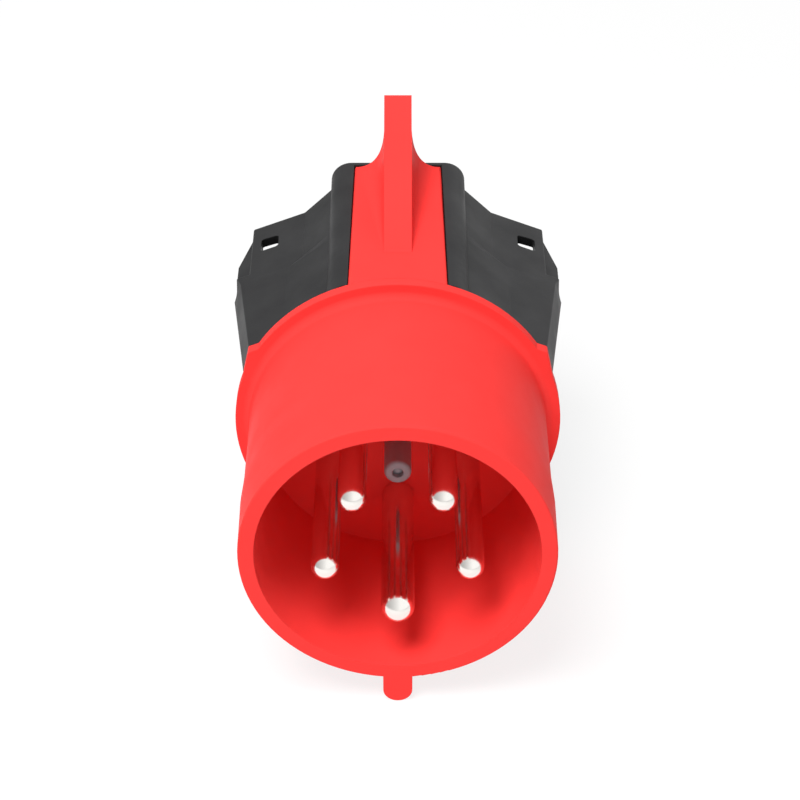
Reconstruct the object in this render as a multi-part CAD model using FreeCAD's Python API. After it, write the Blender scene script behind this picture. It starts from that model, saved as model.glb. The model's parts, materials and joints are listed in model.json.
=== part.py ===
import FreeCAD, Part
import math
import os
from FreeCAD import Vector

# Plug adapter for a mobile charger, in millimetres.
# Everything is drawn in plug coordinates: x to the right, y the depth behind the
# sleeve's rim, z up from the plug's axis. place() then stands the adapter on z = 0
# with its length centred on y = 0.

# Sleeve of the plug face
sleeve_radius = 28.05
sleeve_wall = 2.85
sleeve_edge_radius = 0.3
sleeve_swell = 0.15
swell_depth = 11.5
neck_depth = 18.0
neck_inset = 0.15
floor_setback = 4.5
floor_thickness = 2.5
flange_depth = 40.5
flange_thickness = 2.2
flange_radius = 30.7
flange_fillet = 1.5

# Key under the sleeve
key_width = 5.3
key_reach = 33.6

# Contacts, seen from the front; angles are counted from the right
pin_circle_radius = 13.5
pin_dome_depth = 2.5
pin_dome_ratio = 0.78
pin_seat_gap = 0.1
pin_collar_thickness = 2.2
pin_collar_step = 1.7
spigot_length = 8.3
socket_wall = 1.8
socket_length = 29.3
socket_bore_depth = 15.0
socket_slit_width = 0.6
socket_slit_length = 10.0
seal_width = 1.4
seal_thickness = 1.3
contacts = {
    "l1": {"angle": 126, "pin": 2.5, "spigot": 2.0},
    "l2": {"angle": 54, "pin": 2.5, "spigot": 2.0},
    "l3": {"angle": 342, "pin": 2.5, "spigot": 2.0},
    "n": {"angle": 198, "pin": 2.5, "spigot": 2.0},
    "pe": {"angle": 270, "pin": 3.0, "spigot": 2.4},
}

# Clearances
seat_clearance = 0.1
pivot_clearance = 0.05
lever_clearance = 0.2

# Centre post with the temperature sensor
post_radius = 2.5
post_depth = 24.5
post_edge_radius = 0.7
post_hole_radius = 1.0
post_hole_depth = 4.0
post_foot_radius = 4.0
post_foot_thickness = 1.5
sensor_radius = 1.3
sensor_length = 5.0
sensor_bore_depth = 7.0
lead_radius = 0.25
lead_spacing = 1.27

# Contact carrier
carrier_radius = 25.0
screw_boss_radius = 3.0
lead_hole_radius = 2.0

# Black hood
hood_wall = 2.0
hood_length = 42.3
shoulder_length = 25.6
widest_length = 23.3
bulkhead_thickness = 2.5
bulkhead_opening_radius = 18.6
hump_half_width = 13.15
hump_front_height = 29.2
hump_rear_height = 31.1
hump_corner = 4.0
hump_foot_height = 24.7
crease_front_x = 21.3
crease_rear_x = 18.6
crease_height = 19.4
wing_slope = 0.39
wing_rise = 0.35
wing_edge_front_x = 27.75
wing_edge_widest_x = 30.6
wing_edge_shoulder_x = 31.5
wing_edge_rear_x = 29.0
wing_edge_corner = 0.5
side_front_x = 28.9
side_widest_x = 31.95
side_shoulder_x = 31.6
side_top_height = 10.5
side_low_height = -10.0
side_low_inset = 1.3
side_low_rear_height = -13.0
bottom_inset = 6.6
bottom_corner = 6.0

# Slots through the wings
slot_x = 25.4
slot_behind_shoulder = 9.5
slot_width = 3.5
slot_length = 4.1
slot_corner = 0.7
slot_lean = 0.25

# Red strip and grip fin on top
strip_front_half_width = 9.15
strip_rear_half_width = 8.5
strip_rear_height = 30.7
strip_thickness = 2.0
strip_corner = 0.6
lip_thickness = 0.9
fin_width = 5.28
fin_height = 15.8
fin_foot_width = 5.7
fin_foot_height = 9.8
fin_foot_hollow = 0.64
fin_length = 30.5
fin_tip_height = 0.03

# Contact block
block_half_width = 20.5
block_top = 15.9
block_bottom = -20.8
block_corner = 4.0
block_length = 28.8
block_web = 3.0
block_rear_web = 1.8
tower_half_width = 4.4
tower_length = 11.0
entry_clearance = 0.4

# Screws that clamp the stack
screw_radius = 1.5
screw_head_radius = 2.8
screw_head_height = 2.2
screw_length = 10.0
screw_hole_clearance = 0.2
well_radius = 3.2
well_wall = 0.8
low_screw_circle_radius = 21.9
driver_recess_radius = 1.2
driver_recess_depth = 1.2

# Coding board and signal contacts
board_radius = 6.5
board_thickness = 1.2
board_recess_depth = 6.3
resistor_length = 3.2
resistor_width = 1.6
resistor_height = 0.7
resistor_height_offset = 3.2
signal_pin_radius = 0.8
signal_pin_x = 2.54
signal_pin_reach = 3.0

# Seals
gasket_inner_radius = 25.9
gasket_outer_radius = 27.4
gasket_thickness = 1.2
block_seal_depth = 1.0
block_seal_proud = 0.9
block_seal_width = 2.5
block_seal_setback = 2.0

# Side release levers
pivot_x = 24.4
pivot_behind_bulkhead = 7.3
pivot_pin_radius = 1.25
eye_radius = 2.4
lever_half_height = 9.0
lever_inner_x = 23.2
lever_outer_x = 26.2
lever_bend_length = 18.5
lever_end_gap = 0.2
lever_rear_thickness = 3.2
lever_straight_length = 21.5
pad_setback = 4.1
pad_flat_length = 4.0
pad_reach = 2.8
pad_end_reach = 0.4
pad_top = 12.95
pad_bottom = -1.0
pad_corner = 0.4
catch_length = 5.8
catch_reach = 1.7
catch_flat = 1.2
catch_top = -2.0
window_bottom = -12.6
shelf_thickness = 2.5
shelf_half_width = 2.9
shelf_margin = 3.2

# Lever springs
spring_behind_pivot = 9.5
spring_radius = 2.4
spring_wire_radius = 0.25
spring_wire_sides = 8
spring_turns = 4
spring_pocket_clearance = 0.3
block_pocket_depth = 1.5
lever_pocket_depth = 1.0

# Places worked out from the sizes above
cavity_depth = flange_depth - floor_setback
sleeve_inner_radius = sleeve_radius - sleeve_wall
floor_rear = cavity_depth + floor_thickness
hood_front = flange_depth + flange_thickness
hood_rear = hood_front + hood_length
overall_length = hood_rear
widest_depth = hood_front + widest_length
shoulder_depth = hood_front + shoulder_length
bulkhead_rear = hood_front + bulkhead_thickness
block_rear = bulkhead_rear + block_length
pivot_depth = bulkhead_rear + pivot_behind_bulkhead
lip_front = hood_rear - lip_thickness
strip_front_height = math.sqrt(flange_radius ** 2 - strip_front_half_width ** 2)
collar_rear = floor_rear + pin_collar_thickness
spigot_rear = collar_rear + spigot_length
pad_front = shoulder_depth + pad_setback
board_rear = hood_front + board_recess_depth
board_front = board_rear - board_thickness
channel_front_height = strip_front_height - strip_thickness - seat_clearance
tower_top = channel_front_height - hood_wall - lever_clearance
top_screw_height = tower_top - well_wall - well_radius
low_screw_offset = low_screw_circle_radius * math.sqrt(0.5)
screw_places = [
    (0.0, top_screw_height),
    (-low_screw_offset, -low_screw_offset),
    (low_screw_offset, -low_screw_offset),
]
sides = {"left": -1, "right": 1}
depth_axis = Vector(0, 1, 0)
up_axis = Vector(0, 0, 1)


def rod(radius, front, rear, x=0.0, z=0.0):
    """Cylinder along the depth, from one depth to another"""
    return Part.makeCylinder(radius, rear - front, Vector(x, front, z), depth_axis)


def post(radius, bottom, top, x, y):
    """Upright cylinder"""
    return Part.makeCylinder(radius, top - bottom, Vector(x, y, bottom), up_axis)


def block_of(x_range, y_range, z_range):
    """Box between two values on each axis"""
    (x0, x1), (y0, y1), (z0, z1) = x_range, y_range, z_range
    return Part.makeBox(x1 - x0, y1 - y0, z1 - z0, Vector(x0, y0, z0))


def both_sides(half):
    """The x range from -half to half"""
    return (-half, half)


def mirrored(shape):
    """The same shape on the left side"""
    return shape.mirror(Vector(0, 0, 0), Vector(1, 0, 0))


def contact_place(contact):
    """The (x, z) of a contact on the pin circle"""
    angle = math.radians(contact["angle"])
    return pin_circle_radius * math.cos(angle), pin_circle_radius * math.sin(angle)


def rounded_wire(corners, make_point):
    """Closed wire through (u, v, radius) corners, each rounded with its own radius"""
    points = [make_point(u, v) for u, v, radius in corners]
    runs = []
    for index, (u, v, radius) in enumerate(corners):
        here = points[index]
        before = (points[index - 1] - here).normalize()
        after = (points[(index + 1) % len(points)] - here).normalize()
        if radius == 0:
            runs.append((here, None, here))
            continue
        half_angle = before.getAngle(after) / 2
        reach = radius / math.tan(half_angle)
        inward = (before + after).normalize()
        middle = here + inward * (radius / math.sin(half_angle) - radius)
        runs.append((here + before * reach, middle, here + after * reach))
    edges = []
    for index, (start, middle, end) in enumerate(runs):
        if middle is not None:
            edges.append(Part.Arc(start, middle, end).toShape())
        following = runs[(index + 1) % len(runs)][0]
        edges.append(Part.LineSegment(end, following).toShape())
    return Part.Wire(edges)


def section_wire(corners, depth):
    """Wire of (x, z, radius) corners in the plane at one depth"""
    return rounded_wire(corners, lambda x, z: Vector(x, depth, z))


def loft(stations):
    """Solid through (corners, depth) stations with straight sides between them"""
    wires = [section_wire(corners, depth) for corners, depth in stations]
    return Part.makeLoft(wires, True, True)


def plan_solid(corners, bottom, top):
    """Upright prism over (x, depth, radius) corners"""
    wire = rounded_wire(corners, lambda x, y: Vector(x, y, bottom))
    return Part.Face(wire).extrude(Vector(0, 0, top - bottom))


def symmetric(right_half):
    """Corners of a whole section from those of its right half, listed top to bottom"""
    left_half = [(-x, z, radius) for x, z, radius in reversed(right_half)]
    return right_half + left_half


def inset(corners, wall):
    """Corners of the outline that lies one wall inside; sharp except where it was well rounded"""
    count = len(corners)
    lines = []
    for index in range(count):
        x0, z0, _ = corners[index]
        x1, z1, _ = corners[(index + 1) % count]
        length = math.hypot(x1 - x0, z1 - z0)
        along = ((x1 - x0) / length, (z1 - z0) / length)
        # The corners run clockwise, so the inside is to the right of each line
        shift = (along[1] * wall, -along[0] * wall)
        lines.append(((x0 + shift[0], z0 + shift[1]), along))
    result = []
    for index in range(count):
        (ax, az), (adx, adz) = lines[index - 1]
        (bx, bz), (bdx, bdz) = lines[index]
        cross = adx * bdz - adz * bdx
        radius = max(corners[index][2] - wall, 0.0)
        if abs(cross) < 1e-9:
            result.append((bx, bz, radius))
            continue
        t = ((bx - ax) * bdz - (bz - az) * bdx) / cross
        result.append((ax + adx * t, az + adz * t, radius))
    return result


def between(front_value, rear_value, front, rear, depth):
    """Value at a depth on the straight line between two depths"""
    share = (depth - front) / (rear - front)
    return front_value + (rear_value - front_value) * share


def wing_height(x, depth):
    """Height of the wings' top plane at a distance from the middle and a depth"""
    rise = between(0.0, wing_rise, hood_front, hood_rear, depth)
    return crease_height + rise - wing_slope * (x - crease_rear_x)


def hump_height(depth):
    """Height of the hump's top at a depth"""
    return between(hump_front_height, hump_rear_height, hood_front, hood_rear, depth)


def strip_height(depth):
    """Height of the strip's top at a depth"""
    return between(strip_front_height, strip_rear_height, hood_front, lip_front, depth)


def strip_half_width(depth):
    """Half the strip's width at a depth"""
    return between(strip_front_half_width, strip_rear_half_width, hood_front, lip_front, depth)


def channel_height(depth):
    """Height of the channel floor that the strip lies on"""
    return strip_height(depth) - strip_thickness - seat_clearance


def hood_section(depth, top, crease_x, edge_x, side_x, low_inset, low_height):
    """Outline of the housing at one depth"""
    rise = between(0.0, wing_rise, hood_front, hood_rear, depth)
    return symmetric([
        (hump_half_width, top, hump_corner),
        (hump_half_width, hump_foot_height + rise, 0.0),
        (crease_x, wing_height(crease_x, depth), 0.0),
        (edge_x, wing_height(edge_x, depth), wing_edge_corner),
        (side_x, side_top_height, 0.0),
        (side_x - low_inset, low_height, 0.0),
        (side_x - bottom_inset, -key_reach, bottom_corner),
    ])


def front_section(depth, top):
    """Outline in the flared front part of the housing"""
    edge_x = between(wing_edge_front_x, wing_edge_widest_x, hood_front, widest_depth, depth)
    side_x = between(side_front_x, side_widest_x, hood_front, widest_depth, depth)
    return hood_section(depth, top, crease_front_x, edge_x, side_x, side_low_inset, side_low_height)


def shoulder_section(top):
    """Outline at the rear end of the flared part"""
    return hood_section(shoulder_depth, top, crease_rear_x, wing_edge_shoulder_x,
                        side_shoulder_x, side_low_inset, side_low_height)


def rear_section(depth, top):
    """Outline in the narrower rear part of the housing"""
    return hood_section(depth, top, crease_rear_x, wing_edge_rear_x,
                        wing_edge_rear_x, 0.0, side_low_rear_height)


def strip_section(depth, margin, bottom, top):
    """Outline of the strip, or of its channel, at one depth"""
    half = strip_half_width(depth) + margin
    return symmetric([(half, top, strip_corner), (half, bottom, 0.0)])


def fin_wire(depth, scale):
    """Wire of the grip fin with its hollow feet at one depth; scale is 1 at its rear"""
    half = fin_width / 2
    base = strip_height(depth)
    top = base + fin_height * scale
    sunk = base - strip_thickness / 2
    foot_x = half + fin_foot_width * scale
    foot_z = base + fin_foot_height * scale

    def at(x, z):
        return Vector(x, depth, z)

    def line(start, end):
        return Part.LineSegment(at(*start), at(*end)).toShape()

    def foot(side):
        curve = Part.BezierCurve()
        curve.setPoles([
            at(side * half, foot_z),
            at(side * half, foot_z - fin_foot_hollow * (foot_z - base)),
            at(side * (foot_x - 0.7 * (foot_x - half)), base),
            at(side * foot_x, base),
        ])
        return curve.toShape()

    return Part.Wire([
        line((-foot_x, sunk), (-foot_x, base)),
        foot(-1),
        line((-half, foot_z), (-half, top)),
        line((-half, top), (half, top)),
        line((half, top), (half, foot_z)),
        foot(1),
        line((foot_x, base), (foot_x, sunk)),
        line((foot_x, sunk), (-foot_x, sunk)),
    ])


def make_plug_housing():
    """Red moulding: sleeve, key, floor, flange plate with ears, top strip and grip fin"""
    neck = sleeve_radius - neck_inset
    foot = flange_fillet
    profile = [
        (0.0, 0.0), (sleeve_radius, 0.0), (sleeve_radius + sleeve_swell, swell_depth), (neck, neck_depth),
        (neck, flange_depth - foot), (neck + foot, flange_depth),
        (flange_radius, flange_depth), (flange_radius, hood_front), (0.0, hood_front),
    ]
    points = [Vector(radius, depth, 0) for radius, depth in profile]
    edges = []
    for index, point in enumerate(points):
        following = points[(index + 1) % len(points)]
        if index == 4:
            bulge = foot * (1 - math.sqrt(0.5))
            middle = Vector(neck + bulge, flange_depth - bulge, 0)
            edges.append(Part.Arc(point, middle, following).toShape())
        else:
            edges.append(Part.LineSegment(point, following).toShape())
    body = Part.Face(Part.Wire(edges)).revolve(Vector(0, 0, 0), depth_axis, 360)
    rim = [edge for edge in body.Edges
           if edge.Length > sleeve_radius and abs(edge.CenterOfMass.y) < 0.01]
    body = body.makeFillet(sleeve_edge_radius, rim)

    ears = loft([
        (front_section(hood_front, hump_front_height), flange_depth),
        (front_section(hood_front, hump_front_height), hood_front),
    ])
    ears = ears.cut(block_of(both_sides(crease_front_x), (0, overall_length), (0, 2 * flange_radius)))
    lower = block_of(both_sides(2 * flange_radius), (0, overall_length), (-2 * flange_radius, 0))
    body = body.fuse(ears.cut(lower))

    key_round = key_width / 2
    key = rod(key_round, 0, flange_depth, z=-key_reach + key_round)
    key = key.fuse(block_of(both_sides(key_round), (0, flange_depth),
                            (-key_reach + key_round, -sleeve_inner_radius)))
    body = body.fuse(key)

    fin_rear = lip_front - seat_clearance
    strip = loft([
        (strip_section(depth, 0, strip_height(depth) - strip_thickness, strip_height(depth)), depth)
        for depth in (flange_depth + flange_thickness / 2, fin_rear)
    ])
    fin = Part.makeLoft([
        fin_wire(fin_rear - fin_length, fin_tip_height / fin_height),
        fin_wire(fin_rear, 1.0),
    ], True, True)
    body = body.fuse(strip).fuse(fin)

    body = body.cut(rod(sleeve_inner_radius, -1, cavity_depth))
    recess = rod(sleeve_inner_radius, floor_rear, hood_front)
    for x, z in screw_places:
        recess = recess.cut(rod(screw_boss_radius, floor_rear, hood_front, x, z))
    body = body.cut(recess)
    for x, z in screw_places:
        body = body.cut(rod(screw_radius, bulkhead_rear + block_web - screw_length, hood_front, x, z))
    for contact in contacts.values():
        x, z = contact_place(contact)
        body = body.cut(rod(contact["spigot"], cavity_depth, floor_rear, x, z))
        body = body.cut(rod(contact["spigot"] + seal_width, floor_rear - seal_thickness, floor_rear, x, z))
    body = body.cut(rod(post_radius, cavity_depth, floor_rear))
    gasket_groove = rod(gasket_outer_radius, hood_front - gasket_thickness, hood_front)
    gasket_groove = gasket_groove.cut(rod(gasket_inner_radius, hood_front - gasket_thickness, hood_front))
    return body.cut(gasket_groove).removeSplitter()


def make_slot_tool(bottom):
    """Slot through the right wing; its rear wall leans back towards the wing's underside"""
    middle = shoulder_depth + slot_behind_shoulder
    surface = wing_height(slot_x, middle)
    wires = []
    for height in (bottom, surface + wing_slope * slot_width):
        front = middle - slot_length / 2
        rear = middle + slot_length / 2 + slot_lean * (surface - height)
        corners = [
            (slot_x - slot_width / 2, front, slot_corner),
            (slot_x - slot_width / 2, rear, slot_corner),
            (slot_x + slot_width / 2, rear, slot_corner),
            (slot_x + slot_width / 2, front, slot_corner),
        ]
        wires.append(rounded_wire(corners, lambda x, y: Vector(x, y, height)))
    return Part.makeLoft(wires, True, True)


def make_rear_housing():
    """Black hood shell, open at the rear, with the bulkhead and the levers' shelves"""
    outer = loft([
        (front_section(hood_front, hump_height(hood_front)), hood_front),
        (front_section(widest_depth, hump_height(widest_depth)), widest_depth),
        (shoulder_section(hump_height(shoulder_depth)), shoulder_depth),
    ])
    outer = outer.fuse(loft([
        (rear_section(shoulder_depth, hump_height(shoulder_depth)), shoulder_depth),
        (rear_section(hood_rear, hump_height(hood_rear)), hood_rear),
    ]))

    inner_front = loft([
        (inset(front_section(depth, channel_height(depth)), hood_wall), depth)
        for depth in (bulkhead_rear, widest_depth)
    ])
    beyond = hood_rear + hood_wall
    inner_rear = loft([
        (inset(rear_section(depth, channel_height(depth)), hood_wall), depth)
        for depth in (widest_depth, beyond)
    ])
    hood = outer.cut(inner_front).cut(inner_rear)

    channel_front = hood_front - hood_wall
    channel = loft([
        (strip_section(depth, seat_clearance, channel_height(depth),
                       hump_height(depth) + strip_thickness), depth)
        for depth in (channel_front, lip_front)
    ])
    hood = hood.cut(channel)

    shelf_x = (pivot_x - shelf_half_width, side_widest_x)
    shelf_y = (hood_front + hood_wall / 2, pivot_depth + shelf_margin)
    shelf_z = lever_half_height + lever_clearance
    pin_end = shelf_z + shelf_thickness
    window_top = wing_height(wing_edge_rear_x, shoulder_depth) - hood_wall * math.hypot(1, wing_slope)
    for side in sides.values():
        for low, high in ((shelf_z, pin_end), (-pin_end, -shelf_z)):
            shelf = block_of(shelf_x, shelf_y, (low, high)).common(outer)
            shelf = shelf.cut(post(pivot_pin_radius, low, high, pivot_x, pivot_depth))
            hood = hood.fuse(shelf if side > 0 else mirrored(shelf))
        window = block_of((lever_outer_x, 2 * side_widest_x), (shoulder_depth, beyond),
                          (window_bottom, window_top))
        for tool in (window, make_slot_tool(window_top)):
            hood = hood.cut(tool if side > 0 else mirrored(tool))

    hood = hood.cut(rod(bulkhead_opening_radius, hood_front - 1, bulkhead_rear))
    for x, z in screw_places:
        hood = hood.cut(rod(screw_radius + screw_hole_clearance, hood_front - 1, bulkhead_rear, x, z))
    return hood.removeSplitter()


def make_pin(contact):
    """Turned contact pin: domed tip, shaft to its shoulder, shank through the floor, collar and spigot"""
    x, z = contact_place(contact)
    radius = contact["pin"]
    shank = contact["spigot"]
    collar = radius + pin_collar_step
    shoulder = cavity_depth - pin_seat_gap
    dome_height = pin_dome_ratio * radius
    dome_radius = (radius ** 2 + dome_height ** 2) / (2 * dome_height)
    half_arc = math.asin(radius / dome_radius) / 2
    edge = Vector(radius, pin_dome_depth, 0)
    tip = Vector(0, pin_dome_depth - dome_height, 0)
    middle = tip + Vector(dome_radius * math.sin(half_arc), dome_radius * (1 - math.cos(half_arc)), 0)
    dome = Part.Arc(tip, middle, edge)
    corners = [
        edge, Vector(radius, shoulder, 0), Vector(shank, shoulder, 0), Vector(shank, floor_rear, 0),
        Vector(collar, floor_rear, 0), Vector(collar, collar_rear, 0),
        Vector(shank, collar_rear, 0), Vector(shank, spigot_rear, 0), Vector(0, spigot_rear, 0), tip,
    ]
    edges = [dome.toShape()]
    edges += [Part.LineSegment(a, b).toShape() for a, b in zip(corners, corners[1:])]
    pin = Part.Face(Part.Wire(edges)).revolve(Vector(0, 0, 0), depth_axis, 360)
    pin.translate(Vector(x, 0, z))
    return pin


def make_pin_seal(contact):
    """Sealing ring in the floor's rear face, squeezed by the pin's collar"""
    x, z = contact_place(contact)
    front = floor_rear - seal_thickness
    ring = rod(contact["spigot"] + seal_width, front, floor_rear, x, z)
    return ring.cut(rod(contact["spigot"], front, floor_rear, x, z))


def make_socket(contact):
    """Rear socket, pressed on the spigot and slotted at its mouth"""
    x, z = contact_place(contact)
    radius = contact["spigot"]
    rear = hood_front + socket_length
    socket = rod(radius + socket_wall, hood_front, rear, x, z)
    socket = socket.cut(rod(radius, hood_front, spigot_rear, x, z))
    socket = socket.cut(rod(radius, rear - socket_bore_depth, rear, x, z))
    reach = radius + socket_wall + 1
    slit = socket_slit_width / 2
    length = (rear - socket_slit_length, rear)
    socket = socket.cut(block_of((x - reach, x + reach), length, (z - slit, z + slit)))
    return socket.cut(block_of((x - slit, x + slit), length, (z - reach, z + reach)))


def make_contact_carrier():
    """Insulating disc that holds the pins' collars and the centre post's foot"""
    carrier = rod(carrier_radius, floor_rear, hood_front)
    for contact in contacts.values():
        x, z = contact_place(contact)
        carrier = carrier.cut(rod(contact["pin"] + pin_collar_step, floor_rear, collar_rear, x, z))
        carrier = carrier.cut(rod(contact["spigot"], collar_rear, hood_front, x, z))
    for x, z in screw_places:
        carrier = carrier.cut(rod(screw_boss_radius + lever_clearance, floor_rear, hood_front, x, z))
    carrier = carrier.cut(rod(post_foot_radius, floor_rear, floor_rear + post_foot_thickness))
    return carrier.cut(rod(lead_hole_radius, floor_rear, hood_front))


def make_centre_post():
    """Grey moulded tube on the axis: blind hole in front, sensor bore behind"""
    tube = rod(post_radius, post_depth, floor_rear + post_foot_thickness)
    rim = [edge for edge in tube.Edges
           if edge.Length > post_radius and abs(edge.CenterOfMass.y - post_depth) < 0.01]
    tube = tube.makeFillet(post_edge_radius, rim)
    tube = tube.fuse(rod(post_foot_radius, floor_rear, floor_rear + post_foot_thickness))
    tube = tube.cut(rod(post_hole_radius, post_depth - 1, post_depth + post_hole_depth))
    foot_rear = floor_rear + post_foot_thickness
    return tube.cut(rod(sensor_radius, foot_rear - sensor_bore_depth, foot_rear)).removeSplitter()


def make_temperature_sensor():
    """Sensor bead in the centre post with its two leads to the coding board"""
    front = floor_rear + post_foot_thickness - sensor_bore_depth
    sensor = rod(sensor_radius, front, front + sensor_length)
    for side in sides.values():
        lead = rod(lead_radius, front + sensor_length / 2, board_front, x=side * lead_spacing / 2)
        sensor = sensor.fuse(lead)
    return sensor


def block_outline(grow):
    """Corners of the contact block's section, grown or shrunk"""
    half = block_half_width + grow
    corner = block_corner + grow
    return symmetric([(half, block_top + grow, corner), (half, block_bottom - grow, corner)])


def make_contact_block():
    """Rear insulator with contact bores, screw wells, board recess and seal groove"""
    block = loft([(block_outline(0), bulkhead_rear), (block_outline(0), block_rear)])
    tower_rear = bulkhead_rear + tower_length
    block = block.fuse(block_of(both_sides(tower_half_width), (bulkhead_rear, tower_rear),
                                (block_top - block_corner, tower_top)))
    block = block.fuse(rod(bulkhead_opening_radius - seat_clearance, hood_front, bulkhead_rear))
    for contact in contacts.values():
        x, z = contact_place(contact)
        bore = contact["spigot"] + socket_wall + seat_clearance
        block = block.cut(rod(bore, hood_front, block_rear - block_rear_web, x, z))
        entry = contact["spigot"] + entry_clearance
        block = block.cut(rod(entry, block_rear - block_rear_web, block_rear, x, z))
    well_floor = bulkhead_rear + block_web
    for x, z in screw_places:
        block = block.cut(rod(well_radius, well_floor, block_rear, x, z))
        block = block.cut(rod(screw_radius + screw_hole_clearance, hood_front, well_floor, x, z))
    block = block.cut(rod(board_radius + seat_clearance, hood_front, board_rear))
    for side in sides.values():
        block = block.cut(rod(signal_pin_radius, board_rear, block_rear, x=side * signal_pin_x))
        pocket_place = Vector(block_half_width - block_pocket_depth, pivot_depth + spring_behind_pivot, 0)
        pocket = Part.makeCylinder(spring_radius + spring_pocket_clearance, block_pocket_depth,
                                   pocket_place, Vector(1, 0, 0))
        block = block.cut(pocket if side > 0 else mirrored(pocket))
    return block.cut(seal_ring(-block_seal_depth, 1.0)).removeSplitter()


def seal_ring(inner, outer):
    """Ring around the block's rear end, between two growths of its outline"""
    rear = block_rear - block_seal_setback
    front = rear - block_seal_width
    ring = loft([(block_outline(outer), front), (block_outline(outer), rear)])
    return ring.cut(loft([(block_outline(inner), front), (block_outline(inner), rear)]))


def make_block_seal():
    """Elastomer ring that seals the block in the charger's mouth"""
    return seal_ring(-block_seal_depth, block_seal_proud)


def make_housing_gasket():
    """Flat ring between the red plate and the hood's bulkhead"""
    ring = rod(gasket_outer_radius, hood_front - gasket_thickness, hood_front)
    return ring.cut(rod(gasket_inner_radius, hood_front - gasket_thickness, hood_front))


def make_block_screws():
    """The three screws that clamp block, hood and carrier to the red moulding"""
    seat = bulkhead_rear + block_web
    screws = []
    for x, z in screw_places:
        screw = rod(screw_radius, seat - screw_length, seat, x, z)
        head = rod(screw_head_radius, seat, seat + screw_head_height, x, z)
        recess = rod(driver_recess_radius, seat + screw_head_height - driver_recess_depth,
                     seat + screw_head_height, x, z)
        screws.append(screw.fuse(head).cut(recess))
    return Part.makeCompound(screws)


def make_coding_board():
    """Round board at the bottom of the block's recess"""
    board = rod(board_radius, board_front, board_rear)
    for side in sides.values():
        board = board.cut(rod(signal_pin_radius, board_front, board_rear, x=side * signal_pin_x))
    return board


def make_coding_resistor():
    """Chip resistor on the front of the board"""
    height_range = (resistor_height_offset - resistor_width / 2, resistor_height_offset + resistor_width / 2)
    return block_of(both_sides(resistor_length / 2), (board_front - resistor_height, board_front),
                    height_range)


def make_signal_pin():
    """Thin contact from the board to just behind the block; the right one"""
    return rod(signal_pin_radius, board_front, block_rear + signal_pin_reach, x=signal_pin_x)


def make_latch():
    """Right side lever: eye, arm inside the hood, pad and catch in the side window"""
    rear = hood_rear - lever_end_gap
    flush = wing_edge_rear_x - seat_clearance
    half = lever_half_height
    arm = plan_solid([
        (lever_inner_x, pivot_depth, 0.0),
        (lever_inner_x, pivot_depth + lever_straight_length, 0.0),
        (flush - lever_rear_thickness, rear, 0.0),
        (flush, rear, 0.0),
        (flush, pad_front, 0.0),
        (lever_outer_x, pivot_depth + lever_bend_length, 0.0),
        (lever_outer_x, pivot_depth, 0.0),
    ], -half, half)
    inner_edge = flush - lever_clearance * 3
    pad = plan_solid([
        (inner_edge, pad_front, 0.0),
        (inner_edge, rear, 0.0),
        (flush + pad_end_reach, rear, 0.0),
        (flush + pad_reach, pad_front + pad_flat_length, pad_corner),
        (flush + pad_reach, pad_front, pad_corner),
    ], pad_bottom, pad_top + hood_wall)
    above = plan_solid([
        (0.0, 0.0, 0.0), (0.0, overall_length, 0.0),
        (2 * side_widest_x, overall_length, 0.0), (2 * side_widest_x, 0.0, 0.0),
    ], 0.0, 2 * pad_top)
    slope = math.degrees(math.atan(wing_slope))
    above.rotate(Vector(0, 0, 0), depth_axis, slope)
    above.translate(Vector(0, 0, pad_top + wing_slope * (flush + pad_end_reach)))
    pad = pad.cut(above)
    catch = plan_solid([
        (inner_edge, rear - catch_length, 0.0),
        (inner_edge, rear, 0.0),
        (flush, rear, 0.0),
        (flush + catch_reach, rear - catch_length + catch_flat, 0.0),
        (flush + catch_reach, rear - catch_length, 0.0),
    ], -half, catch_top)
    latch = arm.fuse(pad).fuse(catch)
    latch = latch.fuse(post(eye_radius, -half, half, pivot_x, pivot_depth))
    latch = latch.cut(post(pivot_pin_radius + pivot_clearance, -half, half, pivot_x, pivot_depth))
    pocket = Part.makeCylinder(spring_radius + spring_pocket_clearance, lever_pocket_depth,
                               Vector(lever_inner_x, pivot_depth + spring_behind_pivot, 0), Vector(1, 0, 0))
    return latch.cut(pocket).removeSplitter()


def make_latch_pin():
    """Pivot pin of the right lever, seated in the hood's two shelves"""
    end = lever_half_height + lever_clearance + shelf_thickness
    return post(pivot_pin_radius, -end, end, pivot_x, pivot_depth)


def make_latch_spring():
    """Compression spring between the block's pocket and the right lever's pocket"""
    start = block_half_width - block_pocket_depth + spring_wire_radius
    end = lever_inner_x + lever_pocket_depth - spring_wire_radius
    length = end - start
    coil_radius = spring_radius - spring_wire_radius
    helix = Part.makeHelix(length / spring_turns, length, coil_radius)
    step = 2 * math.pi / spring_wire_sides
    corners = [
        Vector(coil_radius + spring_wire_radius * math.cos(step * side), 0,
               spring_wire_radius * math.sin(step * side))
        for side in range(spring_wire_sides + 1)
    ]
    spring = Part.Wire(helix).makePipeShell([Part.makePolygon(corners)], True, True)
    spring.rotate(Vector(0, 0, 0), depth_axis, 90)
    spring.translate(Vector(start, pivot_depth + spring_behind_pivot, 0))
    return spring


def place(shape):
    """Move a shape from plug coordinates onto its resting surface"""
    moved = shape.copy()
    moved.translate(Vector(0, -overall_length / 2, key_reach))
    return moved


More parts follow.
